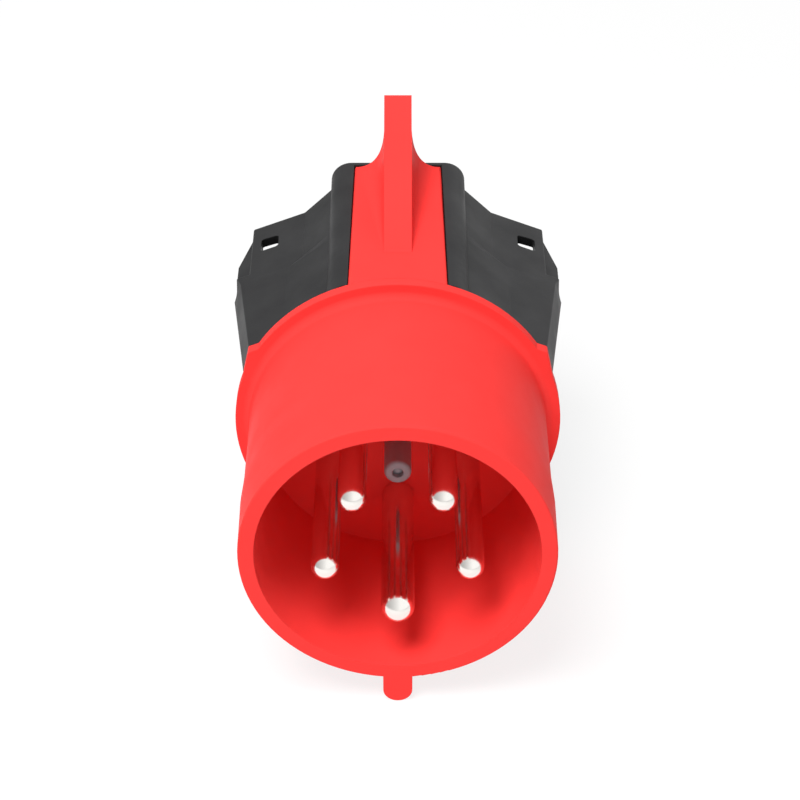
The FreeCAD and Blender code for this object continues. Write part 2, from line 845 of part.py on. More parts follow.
def build():
    """All pieces by name"""
    pieces = {
        "plug_housing": make_plug_housing(),
        "rear_housing": make_rear_housing(),
        "contact_carrier": make_contact_carrier(),
        "contact_block": make_contact_block(),
        "centre_post": make_centre_post(),
        "temperature_sensor": make_temperature_sensor(),
        "coding_board": make_coding_board(),
        "coding_resistor": make_coding_resistor(),
        "housing_gasket": make_housing_gasket(),
        "block_seal": make_block_seal(),
        "block_screws": make_block_screws(),
    }
    for name, contact in contacts.items():
        pieces["pin_" + name] = make_pin(contact)
        pieces["pin_seal_" + name] = make_pin_seal(contact)
        pieces["socket_" + name] = make_socket(contact)
    paired = {
        "latch": make_latch(),
        "latch_pin": make_latch_pin(),
        "latch_spring": make_latch_spring(),
        "signal_pin": make_signal_pin(),
    }
    for name, right_piece in paired.items():
        pieces[name + "_right"] = right_piece
        pieces[name + "_left"] = mirrored(right_piece)
    return pieces


os.makedirs("parts", exist_ok=True)
for node, piece in build().items():
    place(piece).exportStep("parts/" + node + ".step")
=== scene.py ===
"""Looks of the charging adapter: materials, small detail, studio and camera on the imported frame."""
import json
import logging
import math
from dataclasses import dataclass
from enum import Enum
from typing import Any, Optional, Sequence

import bmesh
import bpy
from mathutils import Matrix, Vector


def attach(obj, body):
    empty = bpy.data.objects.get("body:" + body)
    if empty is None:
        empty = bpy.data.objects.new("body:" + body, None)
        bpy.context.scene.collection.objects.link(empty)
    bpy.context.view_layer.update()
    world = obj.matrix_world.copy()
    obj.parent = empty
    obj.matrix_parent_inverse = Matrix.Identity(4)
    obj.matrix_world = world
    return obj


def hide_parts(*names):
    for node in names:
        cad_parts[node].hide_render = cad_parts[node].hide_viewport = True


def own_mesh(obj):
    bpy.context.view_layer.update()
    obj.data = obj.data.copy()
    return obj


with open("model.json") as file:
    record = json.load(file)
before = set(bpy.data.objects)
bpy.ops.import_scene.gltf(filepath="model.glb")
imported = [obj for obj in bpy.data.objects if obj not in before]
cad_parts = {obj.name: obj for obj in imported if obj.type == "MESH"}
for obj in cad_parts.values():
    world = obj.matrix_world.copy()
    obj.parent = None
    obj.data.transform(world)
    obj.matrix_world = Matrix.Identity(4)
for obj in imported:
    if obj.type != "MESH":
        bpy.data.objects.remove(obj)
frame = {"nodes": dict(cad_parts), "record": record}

log = logging.getLogger("adapter")

MM = 0.001
# Plane of the sleeve's rim and height of the plug's axis, in metres.
RIM_Y = -0.0425
AXIS_Z = 0.0336
# Radius of the pins' circle and depth of the block's rear face, in millimetres.
PIN_CIRCLE = 13.5
BLOCK_REAR = 74.0
SCREW_LOBES = 6
WHITE = (1, 1, 1, 1)
Point = tuple[float, float, float]


class Side(Enum):
    """The two sides of the adapter, seen from its pins."""

    LEFT = -1
    RIGHT = 1

    @property
    def word(self) -> str:
        """Name of the side as the pieces' names have it."""
        return self.name.lower()


def place(x: float, depth: float, z: float) -> Vector:
    """Turn plug coordinates in millimetres into the row frame.

    Args:
        x: Distance to the right of the middle plane.
        depth: Distance behind the plane of the sleeve's rim.
        z: Height above the plug's axis.

    Returns:
        The point in metres.
    """
    return Vector((x * MM, RIM_Y + depth * MM, AXIS_Z + z * MM))


def linear(hex_colour: str) -> tuple[float, float, float, float]:
    """Turn an sRGB hex colour into the linear values that a shader takes.

    Args:
        hex_colour: Six hex digits, such as "ff4d4c".

    Returns:
        Linear red, green, blue and an alpha of 1.
    """
    channels = []
    for start in (0, 2, 4):
        value = int(hex_colour[start:start + 2], 16) / 255
        channels.append(value / 12.92 if value <= 0.04045 else ((value + 0.055) / 1.055) ** 2.4)
    return (*channels, 1.0)


def add_node(tree: bpy.types.NodeTree, kind: str, settings: Optional[dict[str, Any]] = None,
             inputs: Optional[dict[Any, Any]] = None) -> bpy.types.Node:
    """Add one node with its settings, values and links.

    Args:
        tree: The node tree that it goes into.
        kind: Blender's name of the node type.
        settings: Attributes of the node.
        inputs: Value, or socket to link from, for each input by name or index.

    Returns:
        The new node.
    """
    node = tree.nodes.new(kind)
    for name, value in (settings or {}).items():
        setattr(node, name, value)
    for name, value in (inputs or {}).items():
        if isinstance(value, bpy.types.NodeSocket):
            tree.links.new(value, node.inputs[name])
        else:
            node.inputs[name].default_value = value
    return node


def new_material(name: str) -> tuple[bpy.types.Material, bpy.types.NodeTree]:
    """Make an empty node material.

    Args:
        name: Name of the material.

    Returns:
        The material and its cleared node tree.
    """
    material = bpy.data.materials.new(name)
    material.use_nodes = True
    material.node_tree.nodes.clear()
    return material, material.node_tree


def object_coordinates(tree: bpy.types.NodeTree, grain_mm: float) -> bpy.types.NodeSocket:
    """Coordinates in which one unit is one grain of the given size.

    Args:
        tree: The material's node tree.
        grain_mm: Size of one grain in millimetres.

    Returns:
        The socket with the scaled object coordinates.
    """
    coordinates = add_node(tree, "ShaderNodeTexCoord")
    scale = 1 / (grain_mm * MM)
    mapping = add_node(tree, "ShaderNodeMapping", inputs={
        "Vector": coordinates.outputs["Object"],
        "Scale": (scale, scale, scale),
    })
    return mapping.outputs["Vector"]


@dataclass(frozen=True)
class MouldedNylon:
    """Glass-filled nylon, injection moulded in a spark-eroded tool.

    The tool's fine pitted skin scatters light, so the plastic looks satin and nearly even in
    colour, with faint mottling where the glass fibres come near the surface.
    """

    name: str
    colour: str
    mottle_colour: str
    roughness: float = 0.46
    roughness_spread: float = 0.06
    specular: float = 0.35
    ior: float = 1.53
    pit_mm: float = 0.3
    pit_depth_mm: float = 0.012
    pit_strength: float = 0.5
    flow_mm: float = 9.0
    flow_low: float = 0.3
    flow_high: float = 0.7
    edge_mm: float = 0.25
    edge_samples: int = 6

    def build(self) -> bpy.types.Material:
        """Make the material."""
        material, tree = new_material(self.name)
        pits = add_node(tree, "ShaderNodeTexNoise", inputs={
            "Vector": object_coordinates(tree, self.pit_mm),
            "Scale": 1.0,
            "Detail": 3.0,
            "Roughness": 0.6,
        })
        flow = add_node(tree, "ShaderNodeTexNoise", inputs={
            "Vector": object_coordinates(tree, self.flow_mm),
            "Scale": 1.0,
            "Detail": 4.0,
            "Roughness": 0.55,
        })
        colour = add_node(tree, "ShaderNodeMix", {"data_type": "RGBA"}, {
            0: flow.outputs["Fac"],
            6: linear(self.colour),
            7: linear(self.mottle_colour),
        })
        roughness = add_node(tree, "ShaderNodeMapRange", inputs={
            "Value": flow.outputs["Fac"],
            "From Min": self.flow_low,
            "From Max": self.flow_high,
            "To Min": self.roughness - self.roughness_spread,
            "To Max": self.roughness + self.roughness_spread,
        })
        edge = add_node(tree, "ShaderNodeBevel", {"samples": self.edge_samples}, {
            "Radius": self.edge_mm * MM,
        })
        bump = add_node(tree, "ShaderNodeBump", inputs={
            "Strength": self.pit_strength,
            "Distance": self.pit_depth_mm * MM,
            "Height": pits.outputs["Fac"],
            "Normal": edge.outputs["Normal"],
        })
        shader = add_node(tree, "ShaderNodeBsdfPrincipled", inputs={
            "Base Color": colour.outputs[2],
            "Roughness": roughness.outputs["Result"],
            "IOR": self.ior,
            "Specular IOR Level": self.specular,
            "Normal": bump.outputs["Normal"],
        })
        add_node(tree, "ShaderNodeOutputMaterial", inputs={"Surface": shader.outputs["BSDF"]})
        return material


@dataclass(frozen=True)
class TurnedMetal:
    """Metal turned on a lathe along the adapter's length, plated or bare.

    The tool leaves rings too fine to see, so they are drawn coarser than real and very shallow,
    and they stretch the reflections a little along the contact. Handling leaves duller and
    brighter patches. The wave texture draws about three rings to its unit.
    """

    name: str
    colour: str
    roughness: float = 0.16
    three_rings_mm: float = 1.5
    ring_depth_mm: float = 0.002
    ring_strength: float = 0.3
    patch_mm: float = 2.5
    patch_low: float = 0.35
    patch_high: float = 0.7
    brighter: float = 0.8
    duller: float = 1.3

    def build(self) -> bpy.types.Material:
        """Make the material."""
        material, tree = new_material(self.name)
        rings = add_node(tree, "ShaderNodeTexWave", {
            "wave_type": "BANDS",
            "bands_direction": "Y",
        }, {
            "Vector": object_coordinates(tree, self.three_rings_mm),
            "Scale": 1.0,
            "Distortion": 0.6,
            "Detail": 2.0,
        })
        patches = add_node(tree, "ShaderNodeTexNoise", inputs={
            "Vector": object_coordinates(tree, self.patch_mm),
            "Scale": 1.0,
            "Detail": 4.0,
        })
        roughness = add_node(tree, "ShaderNodeMapRange", inputs={
            "Value": patches.outputs["Fac"],
            "From Min": self.patch_low,
            "From Max": self.patch_high,
            "To Min": self.roughness * self.brighter,
            "To Max": self.roughness * self.duller,
        })
        bump = add_node(tree, "ShaderNodeBump", inputs={
            "Strength": self.ring_strength,
            "Distance": self.ring_depth_mm * MM,
            "Height": rings.outputs["Fac"],
        })
        shader = add_node(tree, "ShaderNodeBsdfPrincipled", inputs={
            "Base Color": linear(self.colour),
            "Metallic": 1.0,
            "Roughness": roughness.outputs["Result"],
            "Normal": bump.outputs["Normal"],
        })
        add_node(tree, "ShaderNodeOutputMaterial", inputs={"Surface": shader.outputs["BSDF"]})
        return material


@dataclass(frozen=True)
class MouldedRubber:
    """Silicone or nitrile rubber pressed in a smooth mould, with a dusty, dull bloom."""

    name: str
    colour: str
    roughness: float = 0.7
    specular: float = 0.3
    grain_mm: float = 0.2
    bloom_depth_mm: float = 0.01
    bloom_strength: float = 0.4

    def build(self) -> bpy.types.Material:
        """Make the material."""
        material, tree = new_material(self.name)
        bloom = add_node(tree, "ShaderNodeTexNoise", inputs={
            "Vector": object_coordinates(tree, self.grain_mm),
            "Scale": 1.0,
            "Detail": 3.0,
        })
        bump = add_node(tree, "ShaderNodeBump", inputs={
            "Strength": self.bloom_strength,
            "Distance": self.bloom_depth_mm * MM,
            "Height": bloom.outputs["Fac"],
        })
        shader = add_node(tree, "ShaderNodeBsdfPrincipled", inputs={
            "Base Color": linear(self.colour),
            "Roughness": self.roughness,
            "Specular IOR Level": self.specular,
            "Normal": bump.outputs["Normal"],
        })
        add_node(tree, "ShaderNodeOutputMaterial", inputs={"Surface": shader.outputs["BSDF"]})
        return material


@dataclass(frozen=True)
class Finishes:
    """Every finish of the adapter by the record's slot."""

    red_plastic: MouldedNylon = MouldedNylon("red_nylon_spark_eroded", "f9413e", "f43e3b",
                                             roughness=0.5, specular=0.02)
    black_plastic: MouldedNylon = MouldedNylon("black_nylon_spark_eroded", "232324", "202021",
                                               roughness=0.5, specular=0.22)
    grey_plastic: MouldedNylon = MouldedNylon("grey_nylon_moulded", "9c9aa0", "959399",
                                              roughness=0.4)
    nickel_plate: TurnedMetal = TurnedMetal("nickel_plated_turned_brass", "efece7",
                                            roughness=0.19, ring_depth_mm=0.0003)
    tinned_brass: TurnedMetal = TurnedMetal("turned_brass", "d8c078", roughness=0.25)
    screw_steel: TurnedMetal = TurnedMetal("zinc_plated_steel", "c4c6c8", roughness=0.3)
    spring_steel: TurnedMetal = TurnedMetal("drawn_spring_steel", "a8a9ac", roughness=0.28)
    seal_rubber: MouldedRubber = MouldedRubber("nitrile_rubber_pressed", "2a2a2b")
    epoxy: MouldedNylon = MouldedNylon("epoxy_dipped_bead", "2b2622", "332c26", roughness=0.22,
                                       specular=0.5)
    board: MouldedNylon = MouldedNylon("glass_epoxy_board_green_mask", "1d5b33", "236a3d",
                                       roughness=0.3, specular=0.5)
    ceramic_body: MouldedNylon = MouldedNylon("alumina_chip_black_glaze", "333336", "2b2b2e",
                                              roughness=0.35)

    def build(self) -> dict[str, bpy.types.Material]:
        """Make all materials, by slot."""
        return {slot: getattr(self, slot).build() for slot in self.__dataclass_fields__}


def smooth_group(sharp_deg: float) -> bpy.types.NodeTree:
    """Node group that shades faces smooth and keeps the edges above an angle crisp.

    Args:
        sharp_deg: Smallest angle between two faces that stays an edge.

    Returns:
        The group, made once.
    """
    name = "smooth_below_%g" % sharp_deg
    group = bpy.data.node_groups.get(name)
    if group is not None:
        return group
    group = bpy.data.node_groups.new(name, "GeometryNodeTree")
    group.interface.new_socket("Geometry", in_out="INPUT", socket_type="NodeSocketGeometry")
    group.interface.new_socket("Geometry", in_out="OUTPUT", socket_type="NodeSocketGeometry")
    source = add_node(group, "NodeGroupInput")
    faces = add_node(group, "GeometryNodeSetShadeSmooth", inputs={
        "Geometry": source.outputs[0],
        "Shade Smooth": True,
    })
    angle = add_node(group, "GeometryNodeInputMeshEdgeAngle")
    crisp = add_node(group, "FunctionNodeCompare", {"operation": "GREATER_THAN"}, {
        0: angle.outputs[0],
        1: math.radians(sharp_deg),
    })
    edges = add_node(group, "GeometryNodeSetShadeSmooth", {"domain": "EDGE"}, {
        "Geometry": faces.outputs[0],
        "Selection": crisp.outputs[0],
        "Shade Smooth": False,
    })
    add_node(group, "NodeGroupOutput", inputs={0: edges.outputs[0]})
    return group


@dataclass
class CarriedSolids:
    """Gives each CAD node its finish, and even shading over its drawn curves."""

    finishes: dict[str, bpy.types.Material]
    slots: dict[str, str]
    sharp_deg: float = 22.0
    weld_mm: float = 0.0005

    def build(self) -> None:
        """Dress all nodes."""
        for name, solid in frame["nodes"].items():
            material = self.finishes[self.slots[name]]
            for slot in solid.material_slots:
                slot.link = "OBJECT"
                slot.material = material
            self.even_shading(solid)
            log.info("dressed %s with %s", name, material.name)

    def even_shading(self, solid: bpy.types.Object) -> None:
        """Add modifiers that shade the solid's curves smooth and leave its own mesh alone.

        Args:
            solid: The object of a CAD node.
        """
        weld = solid.modifiers.new("join_faces", "WELD")
        weld.merge_threshold = self.weld_mm * MM
        smooth = solid.modifiers.new("smooth", "NODES")
        smooth.node_group = smooth_group(self.sharp_deg)
        weighted = solid.modifiers.new("even_shading", "WEIGHTED_NORMAL")
        weighted.keep_sharp = True


def finished_mesh(name: str, shape: bmesh.types.BMesh, sharp_deg: float = 35.0) -> bpy.types.Mesh:
    """Turn a bmesh into a mesh with smooth curves and crisp edges.

    Args:
        name: Name of the mesh.
        shape: The shape, which is freed.
        sharp_deg: Smallest angle between two faces that stays an edge.

    Returns:
        The mesh.
    """
    bmesh.ops.recalc_face_normals(shape, faces=shape.faces)
    mesh = bpy.data.meshes.new(name)
    shape.to_mesh(mesh)
    shape.free()
    mesh.shade_smooth()
    mesh.set_sharp_from_angle(angle=math.radians(sharp_deg))
    return mesh


def bridge(shape: bmesh.types.BMesh, first: Sequence[bmesh.types.BMVert],
           second: Sequence[bmesh.types.BMVert]) -> None:
    """Join two loops of points, or a loop and a single point, with faces.

    Args:
        shape: The shape that the loops are in.
        first: One loop.
        second: The other loop, with as many points or one.
    """
    count = max(len(first), len(second))
    for step in range(count):
        following = (step + 1) % count
        corners = [
            first[step % len(first)],
            first[following % len(first)],
            second[following % len(second)],
            second[step % len(second)],
        ]
        shape.faces.new(list(dict.fromkeys(corners)))


@dataclass(frozen=True)
class Ring:
    """One ring of a turned shape; a lobe above zero makes it a star with rounded points."""

    radius: float
    depth: float
    lobe: float = 0.0


def rounded_rim(radius: float, depth: float, size: float, steps: int,
                faces_back: bool = True) -> list[Ring]:
    """Rings over the rounded rim of a turned end face, from the outside in.

    Args:
        radius: Outer radius.
        depth: Depth of the end face.
        size: Radius of the rounding.
        steps: Number of rings less one.
        faces_back: Whether the end face looks away from the sleeve's rim.

    Returns:
        The rings.
    """
    inward = -1 if faces_back else 1
    rings = []
    for step in range(steps + 1):
        angle = math.pi / 2 * step / steps
        rings.append(Ring(radius - size * (1 - math.cos(angle)),
                          depth + inward * size * (1 - math.sin(angle))))
    return rings


def turned(name: str, rings: Sequence[Ring], x: float, z: float, segments: int = 64,
           closed: bool = False) -> bpy.types.Mesh:
    """Mesh of a shape turned about a line along the adapter's length.

    Args:
        name: Name of the mesh.
        rings: Rings in order along the outline.
        x: Place of the line, in plug coordinates.
        z: Height of the line.
        segments: Faces around.
        closed: Whether the last ring joins the first, as in a washer.

    Returns:
        The mesh.
    """
    shape = bmesh.new()
    loops = []
    for ring in rings:
        if ring.radius == 0:
            loops.append([shape.verts.new(place(x, ring.depth, z))])
            continue
        loop = []
        for step in range(segments):
            angle = 2 * math.pi * step / segments
            radius = ring.radius * (1 + ring.lobe * math.cos(SCREW_LOBES * angle))
            spot = place(x + radius * math.cos(angle), ring.depth, z + radius * math.sin(angle))
            loop.append(shape.verts.new(spot))
        loops.append(loop)
    following = loops[1:] + loops[:1] if closed else loops[1:]
    for first, second in zip(loops, following):
        bridge(shape, first, second)
    return finished_mesh(name, shape)


def swept_wire(name: str, line: Sequence[Vector], radius_mm: float, across: Vector,
               sides: int = 12, closed: bool = False) -> bpy.types.Mesh:
    """Mesh of a round wire along a line.

    Args:
        name: Name of the mesh.
        line: Points of the wire's middle, in the row frame.
        radius_mm: The wire's radius.
        across: A direction that the line never runs along.
        sides: Faces around the wire.
        closed: Whether the wire is a loop.

    Returns:
        The mesh.
    """
    shape = bmesh.new()
    loops = []
    for index, point in enumerate(line):
        before = line[index - 1] if index or closed else point
        after = line[(index + 1) % len(line)] if index + 1 < len(line) or closed else point
        along = (after - before).normalized()
        aside = along.cross(across).normalized()
        lift = aside.cross(along)
        loop = []
        for step in range(sides):
            angle = 2 * math.pi * step / sides
            offset = aside * math.cos(angle) + lift * math.sin(angle)
            loop.append(shape.verts.new(point + offset * radius_mm * MM))
        loops.append(loop)
    following = loops[1:] + loops[:1] if closed else loops[1:]
    for first, second in zip(loops, following):
        bridge(shape, first, second)
    if not closed:
        shape.faces.new(loops[0])
        shape.faces.new(loops[-1])
    return finished_mesh(name, shape)


def soft_bar(name: str, low: Point, high: Point, edge_mm: float) -> bpy.types.Mesh:
    """Mesh of a straight bar with rounded edges.

    Args:
        name: Name of the mesh.
        low: Lowest x, depth and z, in plug coordinates.
        high: Highest x, depth and z.
        edge_mm: Radius of its edges.

    Returns:
        The mesh.
    """
    shape = bmesh.new()
    bmesh.ops.create_cube(shape, size=1.0)
    for vert in shape.verts:
        share = [coordinate + 0.5 for coordinate in vert.co]
        vert.co = place(*(a + (b - a) * part for a, b, part in zip(low, high, share)))
    bmesh.ops.bevel(shape, geom=shape.edges, offset=edge_mm * MM, segments=3, profile=0.5,
                    affect="EDGES")
    return finished_mesh(name, shape)


@dataclass(frozen=True)
class Bench:
    """Puts finished meshes on their bodies with the finish of their slot."""

    finishes: dict[str, bpy.types.Material]
    slots: dict[str, str]

    def add(self, mesh: bpy.types.Mesh, node: str, body: str = "adapter",
            replaces: bool = False) -> bpy.types.Object:
        """Make the piece of a mesh.

        Args:
            mesh: The finished mesh, which also names the piece.
            node: The CAD node whose finish it takes.
            body: The body that it moves with.
            replaces: Whether it stands for that node.

        Returns:
            The piece.
        """
        piece = bpy.data.objects.new(mesh.name, mesh)
        bpy.context.scene.collection.objects.link(piece)
        mesh.materials.append(self.finishes[self.slots[node]])
        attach(piece, body)
        if replaces:
            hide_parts(node)
        log.info("added %s", piece.name)
        return piece


@dataclass(frozen=True)
class Contact:
    """One contact of the plug; its angle is counted from the right, seen from the front."""

    name: str
    angle_deg: float
    pin_radius: float
    shank_radius: float

    def spot(self, circle_radius: float) -> tuple[float, float]:
        """The contact's x and z on a circle about the plug's axis."""
        angle = math.radians(self.angle_deg)
        return circle_radius * math.cos(angle), circle_radius * math.sin(angle)


CONTACTS = (
    Contact("l1", 126, 2.5, 2.0),
    Contact("l2", 54, 2.5, 2.0),
    Contact("l3", 342, 2.5, 2.0),
    Contact("n", 198, 2.5, 2.0),
    Contact("pe", 270, 3.0, 2.4),
)


@dataclass
class ContactPins:
    """Turned pins with domed tips, a shoulder at the floor, a collar and a spigot behind it."""

    bench: Bench
    dome_edge: float = 2.5
    dome_ratio: float = 0.78
    shoulder: float = 35.9
    collar_front: float = 38.5
    collar_rear: float = 40.7
    collar_step: float = 1.7
    end: float = 49.0
    chamfer: float = 0.2
    dome_steps: int = 16
    segments: int = 96

    def dome(self, radius: float) -> list[Ring]:
        """Rings of the tip, from its middle to the shaft's edge."""
        height = self.dome_ratio * radius
        dome_radius = (radius ** 2 + height ** 2) / (2 * height)
        arc = math.asin(radius / dome_radius)
        tip = self.dome_edge - height
        return [Ring(dome_radius * math.sin(arc * step / self.dome_steps),
                     tip + dome_radius * (1 - math.cos(arc * step / self.dome_steps)))
                for step in range(self.dome_steps + 1)]

    def rings(self, contact: Contact) -> list[Ring]:
        """Outline of one whole pin."""
        radius, shank = contact.pin_radius, contact.shank_radius
        collar = radius + self.collar_step
        return self.dome(radius) + [
            Ring(radius, self.shoulder - self.chamfer),
            Ring(radius - self.chamfer, self.shoulder),
            Ring(shank, self.shoulder),
            Ring(shank, self.collar_front),
            Ring(collar, self.collar_front),
            Ring(collar, self.collar_rear),
            Ring(shank, self.collar_rear),
            Ring(shank, self.end - self.chamfer),
            Ring(shank - self.chamfer, self.end),
            Ring(0, self.end),
        ]

    def build(self) -> None:
        """Make the five pins."""
        for contact in CONTACTS:
            mesh = turned("contact_pin_" + contact.name, self.rings(contact),
                          *contact.spot(PIN_CIRCLE), segments=self.segments)
            self.bench.add(mesh, "pin_" + contact.name, replaces=True)


@dataclass
class CentrePost:
    """Grey moulded tube on the axis; a crowned window closes its chamfered hole."""

    bench: Bench
    radius: float = 2.5
    front: float = 24.5
    edge: float = 0.7
    edge_steps: int = 6
    hole_radius: float = 1.0
    hole_chamfer: float = 0.12
    hole_depth: float = 4.0
    window_setback: float = 0.7
    window_crown: float = 0.3
    window_depth: float = 1.0
    window_fit: float = 0.98
    window_segments: int = 32
    foot_radius: float = 4.0
    foot_front: float = 38.5
    foot_rear: float = 40.0
    sensor_radius: float = 1.3
    sensor_front: float = 33.0

    def build(self) -> None:
        """Make the post and its window."""
        rim = rounded_rim(self.radius, self.front, self.edge, self.edge_steps, faces_back=False)
        rings = [
            Ring(0, self.front + self.hole_depth),
            Ring(self.hole_radius, self.front + self.hole_depth),
            Ring(self.hole_radius, self.front + self.hole_chamfer),
            Ring(self.hole_radius + self.hole_chamfer, self.front),
            *reversed(rim),
            Ring(self.radius, self.foot_front),
            Ring(self.foot_radius, self.foot_front),
            Ring(self.foot_radius, self.foot_rear),
            Ring(self.sensor_radius, self.foot_rear),
            Ring(self.sensor_radius, self.sensor_front),
            Ring(0, self.sensor_front),
        ]
        self.bench.add(turned("sensor_post", rings, 0, 0), "centre_post", replaces=True)
        floor = self.front + self.window_setback
        edge = self.hole_radius * self.window_fit
        window = [
            Ring(0, floor),
            Ring(self.hole_radius / 2, floor + self.window_crown / 6),
            Ring(edge, floor + self.window_crown),
            Ring(edge, floor + self.window_depth),
            Ring(0, floor + self.window_depth),
        ]
        mesh = turned("sensor_window", window, 0, 0, segments=self.window_segments)
        self.bench.add(mesh, "centre_post")


@dataclass
class SignalPins:
    """Two thin contacts beside the axis, rounded where they come out of the block."""

    bench: Bench
    radius: float = 0.8
    spacing: float = 2.54
    front: float = 47.8
    rear: float = 77.0
    tip_steps: int = 6
    segments: int = 32

    def build(self) -> None:
        """Make both contacts."""
        tip = rounded_rim(self.radius, self.rear, self.radius, self.tip_steps)
        rings = [Ring(0, self.front), Ring(self.radius, self.front), *tip]
        for side in Side:
            mesh = turned("signal_contact_" + side.word, rings, side.value * self.spacing, 0,
                          segments=self.segments)
            self.bench.add(mesh, "signal_pin_" + side.word, replaces=True)


@dataclass
class ClampScrews:
    """Three pan-head screws with a six-lobed recess and a rolled thread."""

    bench: Bench
    top_place: float = 21.005
    low_place: float = 15.486
    seat: float = 48.2
    head_radius: float = 2.8
    head_height: float = 2.2
    head_round: float = 0.5
    head_steps: int = 4
    shank_radius: float = 1.5
    core_radius: float = 1.2
    pitch: float = 0.6
    tip: float = 38.2
    recess_radius: float = 1.15
    recess_depth: float = 1.2
    recess_lobe: float = 0.13
    recess_edge: float = 0.25
    recess_lead: float = 0.1
    segments: int = 72

    def thread(self) -> list[Ring]:
        """Rings from the tip to the seat, in and out with the thread."""
        rings = [Ring(0, self.tip), Ring(self.core_radius, self.tip)]
        depth = self.tip + self.pitch / 2
        while depth < self.seat - self.pitch:
            rings.append(Ring(self.shank_radius, depth))
            rings.append(Ring(self.core_radius, depth + self.pitch / 2))
            depth += self.pitch
        return rings + [
            Ring(self.shank_radius, self.seat - self.pitch / 2),
            Ring(self.shank_radius, self.seat),
        ]

    def head(self) -> list[Ring]:
        """Rings of the head, over its rounded edge and down into the recess."""
        top = self.seat + self.head_height
        return [
            Ring(self.head_radius, self.seat),
            *rounded_rim(self.head_radius, top, self.head_round, self.head_steps),
            Ring(self.recess_radius + self.recess_edge, top),
            Ring(self.recess_radius, top - self.recess_lead, self.recess_lobe),
            Ring(self.recess_radius, top - self.recess_depth, self.recess_lobe),
            Ring(0, top - self.recess_depth),
        ]

    def build(self) -> None:
        """Make the three screws, one above the contacts and two below."""
        low = self.low_place
        for number, (x, z) in enumerate(((0.0, self.top_place), (-low, -low), (low, -low)), 1):
            mesh = turned("clamp_screw_%d" % number, self.thread() + self.head(), x, z,
                          segments=self.segments)
            self.bench.add(mesh, "block_screws", replaces=True)


@dataclass
class LeverSpring:
    """Coiled spring between the block and one side lever, with a dead turn at each end."""

    bench: Bench
    side: Side
    block_end: float = 19.25
    lever_end: float = 23.95
    depth: float = 62.0
    coil_radius: float = 2.15
    wire_radius: float = 0.25
    turns: float = 4.6
    dead_turns: float = 0.8
    steps_per_turn: int = 30
    lever_travel: float = 0.75

    def advance(self, turn: float) -> float:
        """How far the wire has come along the spring after some turns."""
        dead_reach = self.dead_turns * self.wire_radius * 2
        length = self.lever_end - self.block_end
        if turn < self.dead_turns:
            return turn * self.wire_radius * 2
        if turn > self.turns - self.dead_turns:
            return length - (self.turns - turn) * self.wire_radius * 2
        share = (turn - self.dead_turns) / (self.turns - 2 * self.dead_turns)
        return dead_reach + share * (length - 2 * dead_reach)

    def build(self) -> None:
        """Make the spring."""
        line = []
        for step in range(round(self.turns * self.steps_per_turn) + 1):
            turn = step / self.steps_per_turn
            angle = 2 * math.pi * turn
            line.append(place(self.side.value * (self.block_end + self.advance(turn)),
                              self.depth + self.coil_radius * math.cos(angle),
                              self.coil_radius * math.sin(angle)))
        word = self.side.word
        mesh = swept_wire("lever_spring_" + word, line, self.wire_radius, Vector((1, 0, 0)))
        spring = self.bench.add(mesh, "latch_spring_" + word, replaces=True)
        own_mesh(spring)


@dataclass
class SealLips:
    """Two rounded lips around the block's seal, which wipe the mating mouth."""

    bench: Bench
    depths: tuple[float, ...] = (70.2, 71.4)
    lip_radius: float = 0.42
    half_width: float = 21.25
    top: float = 16.65
    bottom: float = -21.55
    corner: float = 4.75
    corner_steps: int = 10

    def line(self, depth: float) -> list[Vector]:
        """Points around the block at one depth."""
        x, top, bottom, corner = self.half_width, self.top, self.bottom, self.corner
        centres = [(x - corner, top - corner, 0), (corner - x, top - corner, 90),
                   (corner - x, bottom + corner, 180), (x - corner, bottom + corner, 270)]
        points = []
        for centre_x, centre_z, start in centres:
            for step in range(self.corner_steps + 1):
                angle = math.radians(start + 90 * step / self.corner_steps)
                points.append(place(centre_x + corner * math.cos(angle), depth,
                                    centre_z + corner * math.sin(angle)))
        return points

    def build(self) -> None:
        """Make both lips."""
        for number, depth in enumerate(self.depths, 1):
            mesh = swept_wire("seal_lip_%d" % number, self.line(depth), self.lip_radius,
                              Vector((0, 1, 0)), closed=True)
            self.bench.add(mesh, "block_seal")


